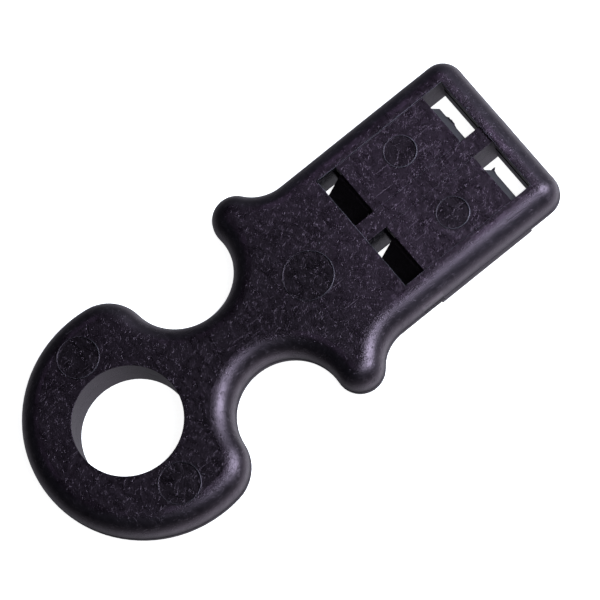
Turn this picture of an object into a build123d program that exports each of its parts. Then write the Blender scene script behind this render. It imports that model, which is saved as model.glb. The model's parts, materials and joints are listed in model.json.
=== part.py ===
from build123d import *
from math import hypot, sqrt
import os

os.makedirs("parts", exist_ok=True)

# A flat two-tone training whistle. +X points to the mouthpiece, +Z is up, and the
# origin lies under the middle of the length, on the face that it rests on.

# ---- driving dimensions, millimetres ----
total_length = 70.4
thickness = 6.0
seam_step = 0.04            # the lower shell stands this much proud along the seam

# ring and finger grip
ring_radius = 15.2
hole_radius = 6.8
hole_offset = 2.35          # the hole sits this far from the ring's centre, away from the neck
finger_reach = 13.35        # ring centre to the middle of the finger notches
finger_radius = 6.7
neck_width = 8.8
ear_radius = 5.3            # rounded corners where the notches leave the ring
shoulder_radius = 3.0
shoulder_flare = 3.3        # shoulders stand out past the sides of the head
blend_radius = 5.2          # hollow from each shoulder into the side of the head

# head
head_width = 23.5
head_corner = 2.75
edge_land = 0.1             # upright strip left at the seam by the rounded edges
recess_length = 19.15
recess_width = 17.2
recess_depth = 0.3
end_bar = 2.9               # recess to the mouth end
rib_width = 2.5             # divides the head into two channels
window_length = 2.9         # openings at the neck end of the panel
slot_length = 2.95          # openings at the mouth end of the panel
wall_flare = 0.4            # the channels' outer walls lean out by this much at the underside
lip_run = 0.95              # the panel's sharp lips reach this far into the mouth slots
lip_height = 3.8            # tips of the lips
lip_gap_left = 1.8          # each lip stops this short of the +Y wall of its channel
lip_gap_right = 2.2
roof_height = 3.6           # underside of the panel
windway_height = 1.0

# cover plate and tone blocks
plate_length = 13.65
plate_lead = 0.25           # the plate starts this far under the windows
plate_width = 22.8
plate_thickness = 1.2
plate_edge = 0.5
plate_clearance = 0.05
block_rib_gap = 1.0         # rib to the side of the block
block_wall_gap = 0.45       # side of the block to the channel's outer wall, at the recess
block_roof_gap = 0.1
block_tail_top = 2.55       # window edge to the top of the block's slope
block_tail_foot = 0.2       # window edge to the foot of the slope
block_foot_height = 0.3
tone_width = 4.4
tone_floor = 0.6
tone_left = 12.4            # lengths of the two tone pockets
tone_right = 10.8
stub_radius = 0.6
stub_length = 0.7
stub_clearance = 0.05
stub_spacing = 8.0

# hidden locating pegs
peg_radius = 1.0
peg_length = 1.5
peg_clearance = 0.1
peg_end_gap = 0.2

# shallow round marks on the top face
mark_depth = 0.12
ring_mark_radius = 2.57
ring_mark_spread = 10.1
ring_mark_lead = 0.15       # the ring's marks sit this far past the middle of the hole
body_mark_radius = 3.1
body_mark_reach = 11.8      # finger notches to the mark on the body
panel_mark_radius = 2.0
panel_mark_spread = 5.08
panel_mark_inset = 9.15     # recess end to the marks on the panel

# ---- places that follow from them ----
seam = thickness / 2
edge_radius = min(seam, shoulder_radius, ear_radius, head_corner) - edge_land
head_end = total_length / 2
head_half = head_width / 2
ring_x = ring_radius - total_length / 2
hole_x = ring_x - hole_offset
finger_x = ring_x + finger_reach
finger_y = neck_width / 2 + finger_radius

recess_end = head_end - end_bar
recess_start = recess_end - recess_length
recess_floor = thickness - recess_depth
panel_start = recess_start + window_length
panel_end = recess_end - slot_length
recess_half = recess_width / 2
rib_half = rib_width / 2
wall_lean = wall_flare / recess_floor
seam_half = recess_half + wall_lean * (recess_floor - seam)
foot_half = recess_half + wall_flare
windway_width = recess_half - rib_half
windway_y = (recess_half + rib_half) / 2
plate_start = panel_start - plate_lead
plate_end = plate_start + plate_length
plate_mid = (plate_start + plate_end) / 2
block_width = recess_half - rib_half - block_rib_gap - block_wall_gap
block_y = rib_half + block_rib_gap + block_width / 2
block_top = roof_height - block_roof_gap
ring_mark_x = hole_x + ring_mark_lead
body_mark_x = finger_x + body_mark_reach
ring_wall_x = (ring_x - ring_radius + hole_x - hole_radius) / 2
peg_spots = [
    (ring_wall_x, 0),
    (ring_mark_x, ring_mark_spread),
    (ring_mark_x, -ring_mark_spread),
    (finger_x, 0),
    (body_mark_x, 0),
]


def meet(centre_a, reach_a, centre_b, reach_b):
    """The point on the +Y side that lies reach_a from centre_a and reach_b from centre_b."""
    dx, dy = centre_b[0] - centre_a[0], centre_b[1] - centre_a[1]
    apart = hypot(dx, dy)
    along = (reach_a**2 - reach_b**2 + apart**2) / (2 * apart)
    aside = sqrt(reach_a**2 - along**2)
    return (
        centre_a[0] + (along * dx - aside * dy) / apart,
        centre_a[1] + (along * dy + aside * dx) / apart,
    )


def towards(start, target, distance):
    """The point that lies the distance from start on the way to target, or past it."""
    dx, dy = target[0] - start[0], target[1] - start[1]
    apart = hypot(dx, dy)
    return (start[0] + dx * distance / apart, start[1] + dy * distance / apart)


# ---- outline of the whole body, drawn as arcs that run into each other ----
ring_centre = (ring_x, 0)
finger_centre = (finger_x, finger_y)
ear_centre = meet(ring_centre, ring_radius - ear_radius, finger_centre, finger_radius + ear_radius)
shoulder_y = head_half + shoulder_flare - shoulder_radius
shoulder_reach = finger_radius + shoulder_radius
shoulder_centre = (finger_x + sqrt(shoulder_reach**2 - (shoulder_y - finger_y) ** 2), shoulder_y)
blend_y = head_half + blend_radius
blend_reach = shoulder_radius + blend_radius
blend_centre = (shoulder_centre[0] + sqrt(blend_reach**2 - (blend_y - shoulder_y) ** 2), blend_y)

with BuildSketch() as outline:
    with BuildLine():
        ring = TangentArc(
            (ring_x - ring_radius, 0),
            towards(ring_centre, ear_centre, ring_radius),
            tangent=(0, 1),
        )
        ear = TangentArc(
            ring @ 1, towards(ear_centre, finger_centre, ear_radius), tangent=ring % 1
        )
        notch = TangentArc(
            ear @ 1, towards(shoulder_centre, finger_centre, shoulder_radius), tangent=ear % 1
        )
        shoulder = TangentArc(
            notch @ 1, towards(shoulder_centre, blend_centre, shoulder_radius), tangent=notch % 1
        )
        blend = TangentArc(shoulder @ 1, (blend_centre[0], head_half), tangent=shoulder % 1)
        side = Line(blend @ 1, (head_end - head_corner, head_half))
        corner = TangentArc(side @ 1, (head_end, head_half - head_corner), tangent=side % 1)
        Line(corner @ 1, (head_end, 0))
        mirror(about=Plane.XZ)
    make_face()

# ---- upper shell: top face, panel with its lips, upper half of the channels ----
with BuildPart() as upper_shell:
    with BuildSketch(Plane.XY.offset(seam)):
        add(outline.sketch)
    extrude(amount=thickness - seam)
    fillet(upper_shell.faces().sort_by(Axis.Z)[-1].outer_wire().edges(), radius=edge_radius)
    # ring hole
    with BuildSketch(Plane.XY.offset(seam)):
        with Locations((hole_x, 0)):
            Circle(hole_radius)
    extrude(amount=thickness, mode=Mode.SUBTRACT)
    # recess around the panel
    with BuildSketch(Plane.XY.offset(recess_floor)):
        with Locations((recess_end, 0)):
            Rectangle(recess_length, recess_width, align=(Align.MAX, Align.CENTER))
    extrude(amount=thickness, mode=Mode.SUBTRACT)
    # space under the recess, its side walls leaning out towards the underside
    with BuildSketch(Plane.YZ.offset(recess_start)):
        with BuildLine():
            Polyline(
                (-recess_half, recess_floor),
                (-seam_half, seam),
                (seam_half, seam),
                (recess_half, recess_floor),
                close=True,
            )
        make_face()
    extrude(amount=recess_length, mode=Mode.SUBTRACT)
    # panel, from wall to wall
    with BuildSketch(Plane.XY.offset(roof_height)):
        with Locations((panel_start, 0)):
            Rectangle(
                panel_end - panel_start, 2 * seam_half, align=(Align.MIN, Align.CENTER)
            )
    extrude(amount=recess_floor - roof_height)
    # slanted lips at its mouth end
    for low_y, high_y in (
        (rib_half, recess_half - lip_gap_left),
        (-recess_half, -rib_half - lip_gap_right),
    ):
        with BuildSketch(Plane.XZ.offset(-high_y)):
            with BuildLine():
                Polyline(
                    (panel_end, roof_height),
                    (panel_end, recess_floor),
                    (panel_end + lip_run, lip_height),
                    close=True,
                )
            make_face()
        extrude(amount=high_y - low_y)
    # rib that divides the space into two channels
    with BuildSketch(Plane.XY.offset(seam)):
        with Locations((recess_end, 0)):
            Rectangle(recess_length, rib_width, align=(Align.MAX, Align.CENTER))
    extrude(amount=recess_floor - seam)
    # windways through the end bar
    with BuildSketch(Plane.XY.offset(seam)):
        with Locations((recess_end, windway_y), (recess_end, -windway_y)):
            Rectangle(2 * end_bar, windway_width, align=(Align.MIN, Align.CENTER))
    extrude(amount=windway_height, mode=Mode.SUBTRACT)
    # shallow round marks
    with BuildSketch(Plane.XY.offset(thickness - mark_depth)):
        with Locations((ring_mark_x, ring_mark_spread), (ring_mark_x, -ring_mark_spread)):
            Circle(ring_mark_radius)
        with Locations((body_mark_x, 0)):
            Circle(body_mark_radius)
    extrude(amount=thickness, mode=Mode.SUBTRACT)
    with BuildSketch(Plane.XY.offset(recess_floor - mark_depth)):
        with GridLocations(0, 2 * panel_mark_spread, 1, 2):
            with Locations((recess_end - panel_mark_inset, 0)):
                Circle(panel_mark_radius)
    extrude(amount=thickness, mode=Mode.SUBTRACT)
    # locating pegs
    with BuildSketch(Plane.XY.offset(seam - peg_length)):
        with Locations(*peg_spots):
            Circle(peg_radius)
    extrude(amount=peg_length)
upper_shell.part.label = "upper_shell"
export_step(upper_shell.part, "parts/upper_shell.step")

# ---- lower shell: lower half of the channels, pocket for the cover plate ----
with BuildPart() as lower_shell:
    with BuildSketch(Plane.XY):
        add(outline.sketch)
        offset(amount=seam_step)
    extrude(amount=seam)
    fillet(lower_shell.faces().sort_by(Axis.Z)[0].outer_wire().edges(), radius=edge_radius)
    # ring hole
    with BuildSketch(Plane.XY):
        with Locations((hole_x, 0)):
            Circle(hole_radius)
    extrude(amount=seam, mode=Mode.SUBTRACT)
    # two channels, right through
    with BuildSketch(Plane.YZ.offset(recess_start)):
        with BuildLine():
            Polyline(
                (rib_half, 0),
                (rib_half, seam),
                (seam_half, seam),
                (foot_half, 0),
                close=True,
            )
        make_face()
        mirror(about=Plane.YZ)
    extrude(amount=recess_length, mode=Mode.SUBTRACT)
    # pocket across the underside
    with BuildSketch(Plane.XY):
        with Locations((plate_mid, 0)):
            Rectangle(plate_length + 2 * plate_clearance, 2 * head_width)
    extrude(amount=plate_thickness, mode=Mode.SUBTRACT)
    # sockets for the locating pegs
    with BuildSketch(Plane.XY.offset(seam)):
        with Locations(*peg_spots):
            Circle(peg_radius + peg_clearance)
    extrude(amount=-(peg_length + peg_end_gap), mode=Mode.SUBTRACT)
lower_shell.part.label = "lower_shell"
export_step(lower_shell.part, "parts/lower_shell.step")

# ---- cover plate: closes the channels from below and carries the tone blocks ----
with BuildPart() as cover_plate:
    with BuildSketch(Plane.XY):
        with Locations((plate_mid, 0)):
            Rectangle(plate_length, plate_width)
    extrude(amount=plate_thickness)
    ends = cover_plate.faces().sort_by(Axis.Y)
    fillet(
        ends[0].edges().filter_by(Axis.X) + ends[-1].edges().filter_by(Axis.X), radius=plate_edge
    )
    with BuildSketch(Plane.XY.offset(plate_thickness)):
        with GridLocations(stub_spacing, 2 * block_y, 2, 2):
            with Locations((plate_mid, 0)):
                Circle(stub_radius + stub_clearance)
    extrude(amount=-(stub_length + stub_clearance), mode=Mode.SUBTRACT)
cover_plate.part.label = "cover_plate"
export_step(cover_plate.part, "parts/cover_plate.step")

# ---- tone blocks: one in each channel, with pockets of different length ----
for name, mid_y, tone_length in (
    ("tone_block_left", block_y, tone_left),
    ("tone_block_right", -block_y, tone_right),
):
    with BuildPart() as tone_block:
        with BuildSketch(Plane.XZ.offset(-mid_y)):
            with BuildLine():
                Polyline(
                    (recess_start + block_tail_foot, block_foot_height),
                    (plate_start - 2 * plate_clearance, block_foot_height),
                    (plate_start - 2 * plate_clearance, plate_thickness),
                    (plate_end, plate_thickness),
                    (plate_end, block_top),
                    (recess_start + block_tail_top, block_top),
                    close=True,
                )
            make_face()
        extrude(amount=block_width / 2, both=True)
        with BuildSketch(Plane.XY.offset(plate_thickness + tone_floor)):
            with Locations((plate_end, mid_y)):
                Rectangle(tone_length, tone_width, align=(Align.MAX, Align.CENTER))
        extrude(amount=thickness, mode=Mode.SUBTRACT)
        with BuildSketch(Plane.XY.offset(plate_thickness - stub_length)):
            with Locations((plate_mid, mid_y)):
                with GridLocations(stub_spacing, 0, 2, 1):
                    Circle(stub_radius)
        extrude(amount=stub_length)
    tone_block.part.label = name
    export_step(tone_block.part, f"parts/{name}.step")
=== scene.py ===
import json
import math
import random

import bmesh
import bpy
from mathutils import Matrix, Vector


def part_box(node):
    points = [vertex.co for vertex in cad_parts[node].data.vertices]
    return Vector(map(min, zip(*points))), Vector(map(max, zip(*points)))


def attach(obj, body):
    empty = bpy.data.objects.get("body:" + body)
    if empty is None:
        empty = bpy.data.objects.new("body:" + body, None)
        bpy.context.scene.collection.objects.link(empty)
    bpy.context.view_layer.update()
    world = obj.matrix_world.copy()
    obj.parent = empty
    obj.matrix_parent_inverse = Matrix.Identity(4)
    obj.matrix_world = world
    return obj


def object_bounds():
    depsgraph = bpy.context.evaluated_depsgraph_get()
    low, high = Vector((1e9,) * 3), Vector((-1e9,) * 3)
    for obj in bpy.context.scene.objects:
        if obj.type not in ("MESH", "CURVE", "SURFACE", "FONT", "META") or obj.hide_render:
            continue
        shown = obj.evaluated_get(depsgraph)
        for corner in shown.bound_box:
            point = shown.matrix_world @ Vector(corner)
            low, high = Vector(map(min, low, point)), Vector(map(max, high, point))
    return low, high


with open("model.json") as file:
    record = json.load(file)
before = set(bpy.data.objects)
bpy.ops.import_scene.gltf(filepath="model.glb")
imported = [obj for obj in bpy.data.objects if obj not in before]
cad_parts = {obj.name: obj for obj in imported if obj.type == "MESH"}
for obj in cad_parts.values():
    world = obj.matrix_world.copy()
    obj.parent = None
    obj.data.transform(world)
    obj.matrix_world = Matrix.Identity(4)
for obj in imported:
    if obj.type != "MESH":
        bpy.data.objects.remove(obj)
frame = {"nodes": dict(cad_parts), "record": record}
cad_low, cad_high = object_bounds()
nodes = frame["nodes"]
record = frame["record"]
MM = 0.001

# ---- camera: above the whistle, leaning a little towards its lower right side ----
AZIMUTH, ELEVATION, ROLL = math.radians(-9.883), math.radians(71.023), math.radians(-29.418)
DISTANCE = 0.5162
LENS_MM, SENSOR_MM = 258.2, 36.0
SHIFT_X, SHIFT_Y = 0.0246, 0.0247
AIM = Vector((0.4 * MM, 0, 0))


def make_camera():
    back = Vector(
        (
            math.sin(AZIMUTH) * math.cos(ELEVATION),
            -math.cos(AZIMUTH) * math.cos(ELEVATION),
            math.sin(ELEVATION),
        )
    )
    level_right = Vector((math.cos(AZIMUTH), math.sin(AZIMUTH), 0))
    level_up = back.cross(level_right)
    right = math.cos(ROLL) * level_right + math.sin(ROLL) * level_up
    up = -math.sin(ROLL) * level_right + math.cos(ROLL) * level_up
    data = bpy.data.cameras.new("camera")
    data.sensor_width = SENSOR_MM
    data.lens = LENS_MM
    data.shift_x = SHIFT_X
    data.shift_y = SHIFT_Y
    data.clip_start, data.clip_end = 0.01, 20
    camera = bpy.data.objects.new("camera", data)
    bpy.context.scene.collection.objects.link(camera)
    turn = Matrix((right, up, back)).transposed().to_4x4()
    camera.matrix_world = Matrix.Translation(AIM + back * DISTANCE) @ turn
    bpy.context.scene.camera = camera


make_camera()


# ---- floor and light ----
FLOOR_REACH = 3.0
FLOOR_DROP = 0.0002
FLOOR_COLOUR = (0.8, 0.8, 0.8, 1)
FLOOR_ROUGHNESS = 0.9
FLOOR_GLOW = 0.95
LIGHT_TINT = (0.80, 0.87, 1.0)


def make_stage():
    mesh = bpy.data.meshes.new("floor")
    corners = [(-1, -1), (1, -1), (1, 1), (-1, 1)]
    mesh.from_pydata(
        [(FLOOR_REACH * x, FLOOR_REACH * y, 0) for x, y in corners], [], [(0, 1, 2, 3)]
    )
    floor = bpy.data.objects.new("floor", mesh)
    floor.location.z = -FLOOR_DROP
    bpy.context.scene.collection.objects.link(floor)
    paint = bpy.data.materials.new("pale_floor")
    paint.use_nodes = True
    shader = paint.node_tree.nodes["Principled BSDF"]
    shader.inputs["Base Color"].default_value = FLOOR_COLOUR
    shader.inputs["Roughness"].default_value = FLOOR_ROUGHNESS
    shader.inputs["Emission Color"].default_value = (1, 1, 1, 1)
    shader.inputs["Emission Strength"].default_value = FLOOR_GLOW
    mesh.materials.append(paint)
    floor.visible_diffuse = False
    floor.visible_glossy = False


def area_light(name, place, width, height, power):
    data = bpy.data.lights.new(name, "AREA")
    data.color = LIGHT_TINT
    data.shape = "ELLIPSE"
    data.size, data.size_y = width, height
    data.energy = power
    light = bpy.data.objects.new(name, data)
    light.location = place
    light.rotation_mode = "QUATERNION"
    light.rotation_quaternion = (-Vector(place)).to_track_quat("-Z", "Y")
    bpy.context.scene.collection.objects.link(light)


make_stage()
# name, place, width, height and power
area_light("key", (0.37, -0.17, 0.45), 0.26, 0.44, 7.4)
area_light("front_key", (0.08, -0.27, 0.55), 0.20, 0.20, 0.85)
area_light("end_fill", (0.46, 0.24, 0.36), 0.60, 0.60, 0.4)

# strength of the surrounding light, from straight down to straight up
WORLD_STOPS = (
    (0.00, 0.10),
    (0.04, 0.20),
    (0.12, 0.95),
    (0.25, 1.10),
    (0.38, 0.60),
    (0.50, 0.22),
    (0.60, 0.06),
    (1.00, 0.014),
)
# red and green in that light, against its blue
WORLD_WARMTH = 0.90
# the way towards its brighter side, where that side fades in, and its strength off and on it
BRIGHT_SIDE = (0.61, -0.79, 0.0)
SIDE_START = -0.6
SIDE_GLOW = (0.40, 2.7)


def make_world():
    """A soft studio: brightest low down on the lit side, dim overhead and behind."""
    world = bpy.data.worlds.new("studio")
    world.use_nodes = True
    tree = world.node_tree
    background = tree.nodes["Background"]
    place = tree.nodes.new("ShaderNodeTexCoord")
    split = tree.nodes.new("ShaderNodeSeparateXYZ")
    height = tree.nodes.new("ShaderNodeMapRange")
    height.inputs["From Min"].default_value = -1
    ramp = tree.nodes.new("ShaderNodeValToRGB")
    stops = ramp.color_ramp.elements
    while len(stops) < len(WORLD_STOPS):
        stops.new(0.5)
    for stop, (level, glow) in zip(stops, WORLD_STOPS):
        stop.position = level
        stop.color = (WORLD_WARMTH * glow, WORLD_WARMTH * glow, glow, 1)
    towards = tree.nodes.new("ShaderNodeVectorMath")
    towards.operation = "DOT_PRODUCT"
    towards.inputs[1].default_value = BRIGHT_SIDE
    side = tree.nodes.new("ShaderNodeMapRange")
    side.interpolation_type = "SMOOTHSTEP"
    side.inputs["From Min"].default_value = SIDE_START
    side.inputs["To Min"].default_value, side.inputs["To Max"].default_value = SIDE_GLOW
    tree.links.new(place.outputs["Generated"], split.inputs[0])
    tree.links.new(place.outputs["Generated"], towards.inputs[0])
    tree.links.new(split.outputs["Z"], height.inputs["Value"])
    tree.links.new(towards.outputs["Value"], side.inputs["Value"])
    tree.links.new(height.outputs["Result"], ramp.inputs["Fac"])
    tree.links.new(ramp.outputs["Color"], background.inputs["Color"])
    tree.links.new(side.outputs["Result"], background.inputs["Strength"])
    bpy.context.scene.world = world


make_world()
bpy.context.scene.view_settings.view_transform = "Standard"


# ---- places on the whistle, from the CAD boxes and mounts ----
_, shell_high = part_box("upper_shell")
block_low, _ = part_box("tone_block_left")
hole = Vector(next(m for m in record["mounts"] if m["name"] == "ring_hole")["pos_m"])

# sizes of the sunk recess, the bar at the mouth end, the windows and the slots
RECESS_DEPTH = 0.3 * MM
END_BAR = 2.9 * MM
BLOCK_SETBACK = 0.2 * MM
WINDOW_LENGTH = 2.9 * MM
SLOT_LENGTH = 2.95 * MM
# how far a lip slopes, and the margin in which the windows' smooth walls fade in
LIP_RUN = 0.95 * MM
WALL = 0.1 * MM

TOP = shell_high.z
RECESS = TOP - RECESS_DEPTH
recess_end = shell_high.x - END_BAR
recess_half = 8.6 * MM
rib_half = 1.25 * MM
window_start = block_low.x - BLOCK_SETBACK
window_end = window_start + WINDOW_LENGTH
panel_end = recess_end - SLOT_LENGTH

# the round marks on the ring, the body and the panel: places and radii
RING_MARK_X = hole.x + 0.15 * MM
RING_MARK_Y = 10.1 * MM
RING_MARK_RADIUS = 2.57 * MM
BODY_MARK_X = hole.x + 27.5 * MM
BODY_MARK_RADIUS = 3.1 * MM
PANEL_MARK_X = recess_end - 9.15 * MM
PANEL_MARK_Y = 5.08 * MM
PANEL_MARK_RADIUS = 2.0 * MM
# x, y, z of the middle and radius of each
MARKS = (
    (RING_MARK_X, RING_MARK_Y, TOP, RING_MARK_RADIUS),
    (RING_MARK_X, -RING_MARK_Y, TOP, RING_MARK_RADIUS),
    (BODY_MARK_X, 0.0, TOP, BODY_MARK_RADIUS),
    (PANEL_MARK_X, PANEL_MARK_Y, RECESS, PANEL_MARK_RADIUS),
    (PANEL_MARK_X, -PANEL_MARK_Y, RECESS, PANEL_MARK_RADIUS),
)


# ---- black moulded plastic ----
# how much each pattern lightens or darkens the colour
MOTTLE, SWIRL, BROAD, GRAIN = 1.7, 1.4, 1.2, 3.2
LINE_GAIN = 0.9
BRINK_GAIN = 2.2
# painted light added to the lips that face the key light
LIP_PAINTED_LIGHT = (0.040, 0.039, 0.041)
# roughness that the rounded edges have beyond that of the flats, and how much it varies
EDGE_ROUGHNESS = 0.08
SWIRL_ROUGHNESS, GRAIN_ROUGHNESS = 0.3, 0.2
BUMP_HEIGHT = 0.03 * MM
BEVEL_RADIUS = 0.12 * MM
PLASTIC_IOR = 1.5
SPECULAR_LEVEL = 0.5
SPECULAR_TINT = (1.0, 0.80, 0.98, 1.0)


class Graph:
    """Short calls for building a material's nodes."""

    def __init__(self, name):
        self.material = bpy.data.materials.new(name)
        self.material.use_nodes = True
        self.tree = self.material.node_tree
        self.shader = self.tree.nodes["Principled BSDF"]

    def add(self, kind, inputs=None, **settings):
        node = self.tree.nodes.new("ShaderNode" + kind)
        for key, value in settings.items():
            setattr(node, key, value)
        for key, value in (inputs or {}).items():
            self.put(node.inputs[key], value)
        return node

    def put(self, socket, value):
        if isinstance(value, bpy.types.NodeSocket):
            self.tree.links.new(value, socket)
        else:
            socket.default_value = value

    def math(self, operation, a, b=0.0, clamp=False):
        node = self.add("Math", {0: a, 1: b}, operation=operation, use_clamp=clamp)
        return node.outputs[0]

    def step(self, value, low, high, out_low=0.0, out_high=1.0):
        inputs = {"Value": value, "From Min": low, "From Max": high}
        inputs.update({"To Min": out_low, "To Max": out_high})
        return self.add("MapRange", inputs, interpolation_type="SMOOTHSTEP").outputs["Result"]

    def swing(self, value, amount):
        """A pattern that lies about a half, made to swing about zero."""
        return self.math("MULTIPLY", self.math("SUBTRACT", value, 0.5), amount)

    def noise(self, place, size_mm, detail=2.0, distortion=0.0, rough=0.5):
        inputs = {"Vector": place, "Scale": 1 / (size_mm * MM), "Detail": detail}
        inputs.update({"Distortion": distortion, "Roughness": rough})
        return self.add("TexNoise", inputs).outputs["Fac"]

    def cells(self, place, size_mm, feature="F1"):
        inputs = {"Vector": place, "Scale": 1 / (size_mm * MM)}
        return self.add("TexVoronoi", inputs, feature=feature).outputs["Distance"]

    def turned(self, place, degrees, stretch):
        inputs = {"Vector": place, "Rotation": (0, 0, math.radians(degrees)), "Scale": stretch}
        return self.add("Mapping", inputs).outputs["Vector"]

    def scratches(self, place, degrees, gap_mm, cut):
        """Thin straight marks that run one way: narrow crests of a strongly stretched noise."""
        along = self.turned(place, degrees, (0.06, 1, 1))
        crest = self.noise(along, gap_mm, 1.0, 0.15)
        return self.step(crest, cut, cut + 0.04)


def mark_masks(g, place, along):
    """Where the round marks' discs are, and where a painted shade line lies beside them, on the side
    away from the key light.
    """
    disc, shade_line = 0.0, 0.0
    level = g.add("Mapping", {"Vector": place, "Scale": (1, 1, 0)}).outputs["Vector"]
    for x, y, _, radius in MARKS:
        away = g.add("VectorMath", {0: level, 1: (x, y, 0)}, operation="DISTANCE").outputs["Value"]
        disc = g.math("MAXIMUM", g.step(away, radius, 0.94 * radius), disc)
        ring = g.step(away, radius, radius + 0.06 * MM)
        ring = g.math("MULTIPLY", ring, g.step(away, radius + 0.26 * MM, radius + 0.14 * MM))
        ring = g.math("MULTIPLY", ring, g.step(along, x + 0.2 * radius, x - 0.6 * radius))
        shade_line = g.math("MAXIMUM", ring, shade_line)
    return disc, shade_line


def lit_lip_mask(g, normal, along, grain):
    """Where the sloping lips that face the key light are, broken up by the grain; they get painted
    light.
    """
    towards_mouth = g.add("SeparateXYZ", {0: normal}).outputs["X"]
    lip = g.math("MULTIPLY", g.step(towards_mouth, 0.6, 0.8), g.step(towards_mouth, 0.97, 0.94))
    lip = g.math("MULTIPLY", lip, g.step(along, panel_end + LIP_RUN, panel_end + 0.9 * LIP_RUN))
    lip = g.math("MULTIPLY", lip, g.step(along, panel_end - 0.1 * LIP_RUN, panel_end))
    return g.math("MULTIPLY", lip, g.step(grain, 0.2, 0.7, 0.5, 1.2))


def wall_mask(g, place, along, up):
    """Where the upright walls inside the windows are."""
    height = g.add("SeparateXYZ", {0: place}).outputs["Z"]
    inside = g.math("MULTIPLY", g.step(along, window_start - WALL, window_start), g.step(up, 0.6, 0.4))
    inside = g.math("MULTIPLY", inside, g.step(along, window_end + WALL, window_end))
    return g.math("MULTIPLY", inside, g.step(height, TOP - 0.2 * MM, TOP - 0.4 * MM))


def black_plastic(name, tint, roughness, speckle, marks):
    """Satin black plastic with grain, specks, flow swirls and scuffs, calmer round the edges."""
    g = Graph(name)
    place = g.add("TexCoord").outputs["Object"]
    geometry = g.add("NewGeometry")
    up = g.add("SeparateXYZ", {0: geometry.outputs["Normal"]}).outputs["Z"]
    flat = g.step(up, 0.90, 0.995)

    grain = g.noise(place, 0.17, 3.0, 0.0, 0.7)
    mottle = g.noise(place, 1.1, 5.0, 0.8, 0.7)
    swirl_place = g.turned(place, 25, (1, 0.5, 1))
    swirl = g.noise(swirl_place, 2.4, 3.0, 3.0, 0.6)
    broad = g.noise(place, 12.0, 2.0, 0.5)
    wander = g.add("TexNoise", {"Vector": place, "Scale": 1 / (0.7 * MM), "Detail": 2.0})
    shift = g.add("VectorMath", {0: wander.outputs["Color"], 3: 1.1 * MM}, operation="SCALE")
    bent = g.add("VectorMath", {0: place, 1: shift.outputs["Vector"]}, operation="ADD")
    bent = bent.outputs["Vector"]
    specks = g.step(g.cells(place, 0.40), 0.30, 0.12)
    sparse = g.step(g.noise(place, 1.4, 2.0), 0.48, 0.58)
    specks = g.math("MULTIPLY", specks, sparse)
    threads = g.step(g.cells(bent, 0.45, "DISTANCE_TO_EDGE"), 0.10, 0.0)
    broken = g.step(g.noise(place, 0.6, 2.0), 0.50, 0.60)
    threads = g.math("MULTIPLY", threads, broken)
    lines = g.scratches(place, 38, 0.55, 0.70)
    cross_lines = g.scratches(place, -52, 0.8, 0.71)
    fine_lines = g.scratches(place, 78, 0.35, 0.71)
    lines = g.math("MAXIMUM", lines, g.math("MAXIMUM", cross_lines, fine_lines))
    patch = g.step(g.noise(place, 4.0, 2.0), 0.48, 0.6)
    lines = g.math("MULTIPLY", g.math("MULTIPLY", lines, patch), marks)

    # colour: a dark base that grain, swirls, specks and scratches lighten
    light = g.swing(mottle, MOTTLE)
    light = g.math("ADD", light, g.swing(swirl, SWIRL))
    light = g.math("ADD", light, g.swing(broad, BROAD))
    light = g.math("ADD", light, g.swing(grain, GRAIN))
    bright = g.math("MULTIPLY", specks, speckle)
    bright = g.math("ADD", bright, g.math("MULTIPLY", lines, LINE_GAIN))
    bright = g.math("ADD", bright, g.math("MULTIPLY", threads, speckle))
    along = g.add("SeparateXYZ", {0: place}).outputs["X"]
    bright = g.math("MULTIPLY", bright, g.step(along, cad_low.x, 0.0, 0.5, 1.0))
    light = g.math("MULTIPLY", g.math("ADD", light, bright), g.step(flat, 0, 1, 0.25, 1.0))
    # a faint broken line where the flat top turns down into the rounded edge
    brink = g.math("MULTIPLY", g.step(up, 0.95, 0.985), g.step(up, 0.9995, 0.995))
    brink = g.math("MULTIPLY", brink, g.step(g.noise(place, 4.0, 3.0), 0.45, 0.62))
    light = g.math("ADD", light, g.math("MULTIPLY", brink, BRINK_GAIN))
    gain = g.math("MAXIMUM", g.math("ADD", light, 1.0), 0.40)
    # painted light: paler towards the mouth end, standing in for the key light's sheen on the flats
    # there
    painted_light_ramp = g.step(along, 0.0, window_end, 0.85, 2.1)
    gain = g.math("MULTIPLY", gain, painted_light_ramp)
    disc, shade_line = mark_masks(g, place, along)
    disc = g.math("MULTIPLY", disc, flat)
    gain = g.math("MULTIPLY", gain, g.step(disc, 0, 1, 1.0, 0.45))
    # painted shade: a dark line beside each mark, on its side away from the key light
    gain = g.math("MULTIPLY", gain, g.step(g.math("MULTIPLY", shade_line, flat), 0, 1, 1.0, 0.2))
    # painted light: the sloping lips, which face the key light, are painted paler, broken up by the
    # grain
    lip = lit_lip_mask(g, geometry.outputs["Normal"], along, grain)
    # the rounded edges are a cooler grey than the flats
    edge_tint = (0.85 * tint[0], 1.25 * tint[1], tint[2])
    on_flat = {0: tint, 3: g.math("MULTIPLY", gain, flat)}
    on_edge = {0: edge_tint, 3: g.math("MULTIPLY", gain, g.math("SUBTRACT", 1.0, flat))}
    flat_colour = g.add("VectorMath", on_flat, operation="SCALE").outputs["Vector"]
    edge_colour = g.add("VectorMath", on_edge, operation="SCALE").outputs["Vector"]
    colour = g.add("VectorMath", {0: flat_colour, 1: edge_colour}, operation="ADD")
    colour = colour.outputs["Vector"]
    pale = g.add("VectorMath", {0: LIP_PAINTED_LIGHT, 3: lip}, operation="SCALE")
    colour = g.add("VectorMath", {0: colour, 1: pale.outputs["Vector"]}, operation="ADD")
    colour = colour.outputs["Vector"]
    g.put(g.shader.inputs["Base Color"], colour)

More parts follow.
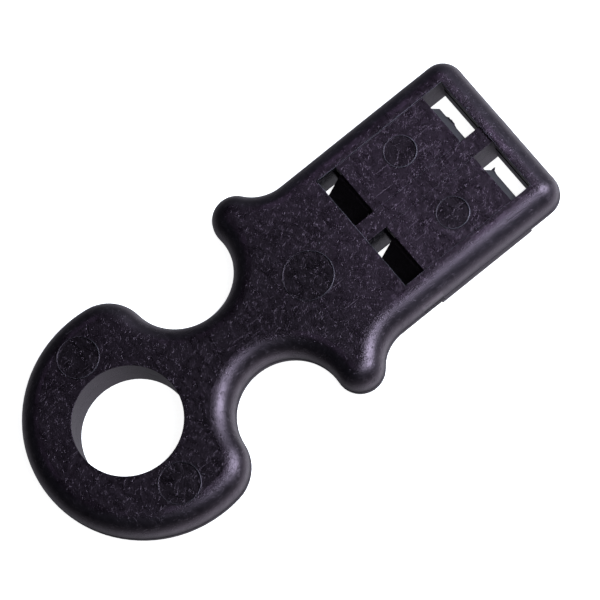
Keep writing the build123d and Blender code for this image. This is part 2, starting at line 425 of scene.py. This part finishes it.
    # roughness: a little more round the edges than on the flats, varied by swirls and grain
    rough = g.step(flat, 0, 1, roughness + EDGE_ROUGHNESS, roughness)
    rough = g.math("ADD", rough, g.swing(swirl, SWIRL_ROUGHNESS))
    rough = g.math("ADD", rough, g.swing(grain, GRAIN_ROUGHNESS), True)
    # the walls inside the windows are smooth, as the mould left them
    inside = wall_mask(g, place, along, up)
    rough = g.math("MULTIPLY", rough, g.step(inside, 0, 1, 1.0, 0.25))
    g.put(g.shader.inputs["Roughness"], rough)

    # relief: grain, weaker round the edges, shallow waves from the mould, scratches cut in
    depth = g.math("MULTIPLY", grain, g.step(flat, 0, 1, 0.3, 1.0))
    depth = g.math("ADD", depth, g.math("MULTIPLY", mottle, 0.45))
    depth = g.math("ADD", depth, g.math("MULTIPLY", specks, 0.4))
    depth = g.math("ADD", depth, g.math("MULTIPLY", threads, 0.4))
    depth = g.math("SUBTRACT", depth, g.math("MULTIPLY", lines, 0.6))
    edge = g.add("Bevel", {"Radius": BEVEL_RADIUS}, samples=4).outputs["Normal"]
    bump_inputs = {"Strength": 1.0, "Distance": BUMP_HEIGHT, "Height": depth, "Normal": edge}
    bump = g.add("Bump", bump_inputs)
    g.put(g.shader.inputs["Normal"], bump.outputs["Normal"])
    g.shader.inputs["IOR"].default_value = PLASTIC_IOR
    g.shader.inputs["Specular IOR Level"].default_value = SPECULAR_LEVEL
    g.shader.inputs["Specular Tint"].default_value = SPECULAR_TINT
    return g.material


# name, tint, roughness, speckle and scratches
shell = black_plastic("shell_plastic", (0.0036, 0.0022, 0.0037), 0.31, 2.4, 1.0)
# pale plastic: whitened wear on the mark rims and nicks; on the recess lines it is painted highlight,
# standing in for light caught on the moulded edges
wear_and_highlight = black_plastic("wear_and_edge_highlight", (0.020, 0.016, 0.022), 0.30, 0.6, 0.3)
insert = black_plastic("insert_plastic", (0.003, 0.0018, 0.002), 0.5, 0.3, 0.2)
slots = {"shell_plastic": shell, "insert_plastic": insert}
for part in record["subparts"]:
    node = nodes[part["node"]]
    node.data.materials.clear()
    node.data.materials.append(slots[part["material_slot"]])

# ---- moulding details: thin rims, flash and nicks ----
rng = random.Random(7)


def add_piece(name, mesh, material):
    for face in mesh.polygons:
        face.use_smooth = True
    piece = bpy.data.objects.new(name, mesh)
    bpy.context.scene.collection.objects.link(piece)
    mesh.materials.append(material)
    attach(piece, "root")
    return piece


def mesh_from(bm, name):
    bmesh.ops.recalc_face_normals(bm, faces=bm.faces)
    mesh = bpy.data.meshes.new(name)
    bm.to_mesh(mesh)
    bm.free()
    return mesh


BEAD_POINTS = 7
BEAD_ROOT = -0.4


def bead(bm, points, widths, heights, closed=False):
    """A low ridge that follows the points: half-round on top, sunk a little into the plastic."""
    rings = []
    count = len(points)
    for i, point in enumerate(points):
        before = points[(i - 1) % count] if closed or i > 0 else point
        after = points[(i + 1) % count] if closed or i < count - 1 else point
        along = (after - before).normalized()
        side = Vector((-along.y, along.x, 0))
        ring = []
        for k in range(BEAD_POINTS):
            turn = math.pi * k / (BEAD_POINTS - 1)
            low = BEAD_ROOT if k in (0, BEAD_POINTS - 1) else 0.0
            lift = heights[i] * (math.sin(turn) + low)
            offset = side * widths[i] * math.cos(turn)
            ring.append(bm.verts.new(point + offset + Vector((0, 0, lift))))
        rings.append(ring)
    pairs = list(zip(rings, rings[1:]))
    if closed:
        pairs.append((rings[-1], rings[0]))
    for first, second in pairs:
        for k in range(BEAD_POINTS):
            j = (k + 1) % BEAD_POINTS
            bm.faces.new((first[k], first[j], second[j], second[k]))
    if not closed:
        bm.faces.new(rings[0])
        bm.faces.new(tuple(reversed(rings[-1])))


def wobble(count, size, spread):
    """Sizes that wander smoothly round their middle value."""
    values = []
    level = 0.0
    for _ in range(count):
        level = 0.75 * level + rng.uniform(-1, 1) * 0.5
        values.append(size * max(0.25, 1 + spread * level))
    return values


RIM_WIDTH, RIM_HEIGHT = 0.085 * MM, 0.08 * MM
RIM_STEPS = 96
# each rim stands highest on its lower right side
RIM_HEADING = math.radians(-45)

bm = bmesh.new()
turns = [math.tau * i / RIM_STEPS for i in range(RIM_STEPS)]
for x, y, z, radius in MARKS:
    circle = [Vector((x + radius * math.cos(turn), y + radius * math.sin(turn), z)) for turn in turns]
    widths = wobble(RIM_STEPS, RIM_WIDTH, 0.25)
    heights = wobble(RIM_STEPS, RIM_HEIGHT, 0.4)
    for i, turn in enumerate(turns):
        facing = max(0.0, math.cos(turn - RIM_HEADING))
        widths[i] *= 0.45 + 0.55 * facing
        heights[i] *= 0.4 + 0.6 * facing
    bead(bm, circle, widths, heights, True)
add_piece("mark_rims", mesh_from(bm, "mark_rims"), wear_and_highlight)


def straight(start, end, step=0.35 * MM, waver=0.02 * MM):
    count = max(3, int((end - start).length / step))
    side = Vector((0, 0, 1)).cross((end - start).normalized())
    return [
        start.lerp(end, i / count) + side * rng.uniform(-waver, waver) for i in range(count + 1)
    ]


# raised moulding lines round the recess and along the rib: both ends, and half width in millimetres
LINES = (
    (Vector((window_start, recess_half, TOP)), Vector((recess_end, recess_half, TOP)), 0.05),
    (Vector((window_start, recess_half, TOP)), Vector((window_start, -recess_half, TOP)), 0.05),
    (Vector((window_start, -recess_half, TOP)), Vector((recess_end, -recess_half, TOP)), 0.025),
    (Vector((window_end, rib_half, RECESS)), Vector((panel_end, rib_half, RECESS)), 0.018),
    (Vector((window_end, -rib_half, RECESS)), Vector((panel_end, -rib_half, RECESS)), 0.018),
    (Vector((recess_end, recess_half, TOP)), Vector((recess_end, -recess_half, TOP)), 0.025),
)
bm = bmesh.new()
for start, end, width in LINES:
    points = straight(start, end)
    widths = wobble(len(points), width * MM, 0.3)
    bead(bm, points, widths, wobble(len(points), 0.8 * width * MM, 0.5))
# painted highlight: the pale material on these lines stands in for light caught on the moulded edges
add_piece("recess_lines", mesh_from(bm, "recess_lines"), wear_and_highlight)

# torn flash on the tips of the two lips: y of its start, and its outline as (x past the tip, y)
LIP_TIP_X = panel_end + LIP_RUN
LIP_TIP_Z = TOP - 2.2 * MM
FLASHES = {
    "lip_flash_left": (
        5.5,
        ((0.0, 0.0), (0.10, -0.12), (0.22, -0.30), (0.17, -0.52), (0.27, -0.74), (0.20, -1.02),
         (0.24, -1.25), (0.10, -1.52), (0.05, -1.80), (0.0, -1.95)),
    ),
    "lip_burr_right": (
        -3.4,
        ((-0.30, 0.0), (0.02, 0.10), (0.28, 0.16), (0.46, 0.13), (0.30, -0.05), (0.13, -0.20),
         (0.07, -0.48), (0.0, -0.75)),
    ),
}
FLASH_THICKNESS = 0.09 * MM
FLASH_SAG = 0.6
# how far back and how much lower the flash is rooted in the lip
ROOT = -0.25 * MM
ROOT_DROP = 0.1 * MM

for name, (start_y, outline) in FLASHES.items():
    bm = bmesh.new()
    layers = []
    for lift in (0.5, -0.5):
        layer = []
        for past, y in outline:
            place = Vector((LIP_TIP_X + past * MM, (start_y + y) * MM, LIP_TIP_Z))
            sag = -FLASH_SAG * max(0.0, past) * MM
            place.z += sag + lift * FLASH_THICKNESS * rng.uniform(0.6, 1.2)
            layer.append(bm.verts.new(place))
        for past, y in (outline[-1], outline[0]):
            place = Vector((LIP_TIP_X + ROOT, (start_y + y) * MM, LIP_TIP_Z))
            place.z += lift * FLASH_THICKNESS - ROOT_DROP
            layer.append(bm.verts.new(place))
        layers.append(layer)
    count = len(layers[0])
    for i in range(count):
        j = (i + 1) % count
        bm.faces.new((layers[0][i], layers[0][j], layers[1][j], layers[1][i]))
    bm.faces.new(layers[0])
    bm.faces.new(tuple(reversed(layers[1])))
    bmesh.ops.triangulate(bm, faces=bm.faces)
    add_piece(name, mesh_from(bm, name), shell)

# small whitened dents: x, y, depth under the top face and half length, in millimetres
NICKS = (
    (32.57, 3.94, 0.0, 0.20),
    (32.62, -0.57, 0.04, 0.24),
    (-19.4, -11.04, 0.0, 0.26),
    (8.61, 2.34, 0.0, 0.16),
    (7.0, 2.43, 0.0, 0.14),
)
NICK_WIDTHS = [width * MM for width in (0.03, 0.08, 0.10, 0.07, 0.03)]
NICK_HEIGHTS = [0.05 * MM] * len(NICK_WIDTHS)
bm = bmesh.new()
for x, y, depth, reach in NICKS:
    heading = rng.uniform(0, math.pi)
    middle = Vector((x * MM, y * MM, TOP - depth * MM))
    half = Vector((math.cos(heading), math.sin(heading), 0)) * reach * MM
    points = [middle + half * t for t in (-1, -0.5, 0, 0.5, 1)]
    bead(bm, points, NICK_WIDTHS, NICK_HEIGHTS)
add_piece("nicks", mesh_from(bm, "nicks"), wear_and_highlight)
